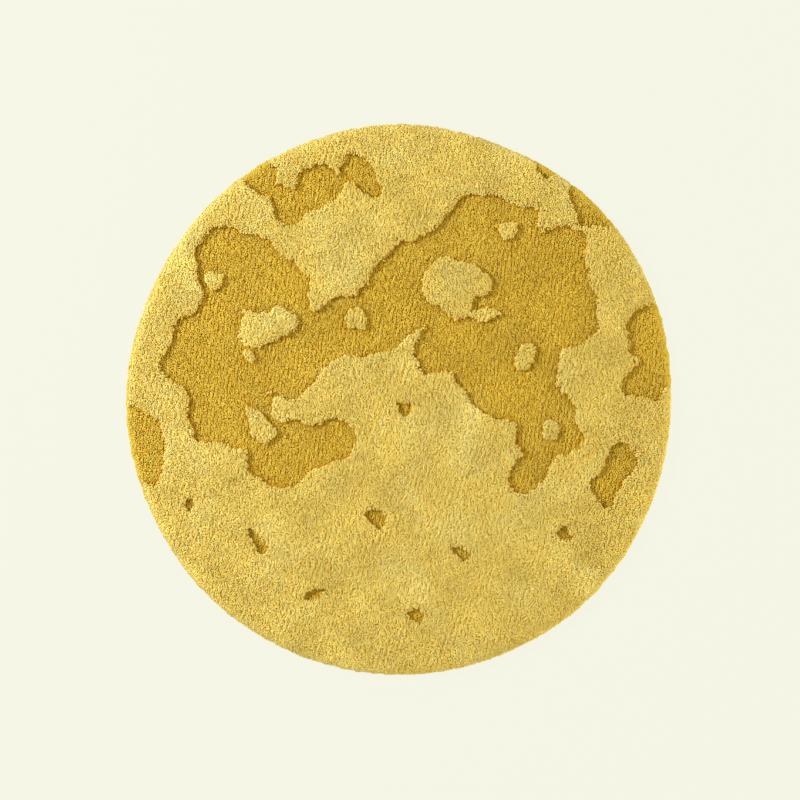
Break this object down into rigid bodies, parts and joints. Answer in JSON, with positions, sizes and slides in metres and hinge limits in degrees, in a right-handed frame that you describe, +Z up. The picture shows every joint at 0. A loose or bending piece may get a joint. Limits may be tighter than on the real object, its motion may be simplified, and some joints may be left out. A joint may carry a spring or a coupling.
{
  "type": "round tufted moon rug",
  "caption": "Round hand-tufted rug showing a full moon, with its seas and pits cut lower than the ground in a darker yarn.",
  "frame": {"origin": "under the rug's middle, on the floor that its back lies on", "axes": "+Z up out of the pile, +Y towards the top of the moon as it is seen from above, +X to its right"},
  "size_m": [1, 1.0098, 0.021],
  "materials": {
    "light_pile": "matt cut pile of light yellow yarn, the tall pile",
    "mustard_pile": "matt cut pile of mustard yarn, the short pile of the seas and pits"
  },
  "bodies": {
    "root": {"rug": "light_pile"}
  },
  "joints": []
}
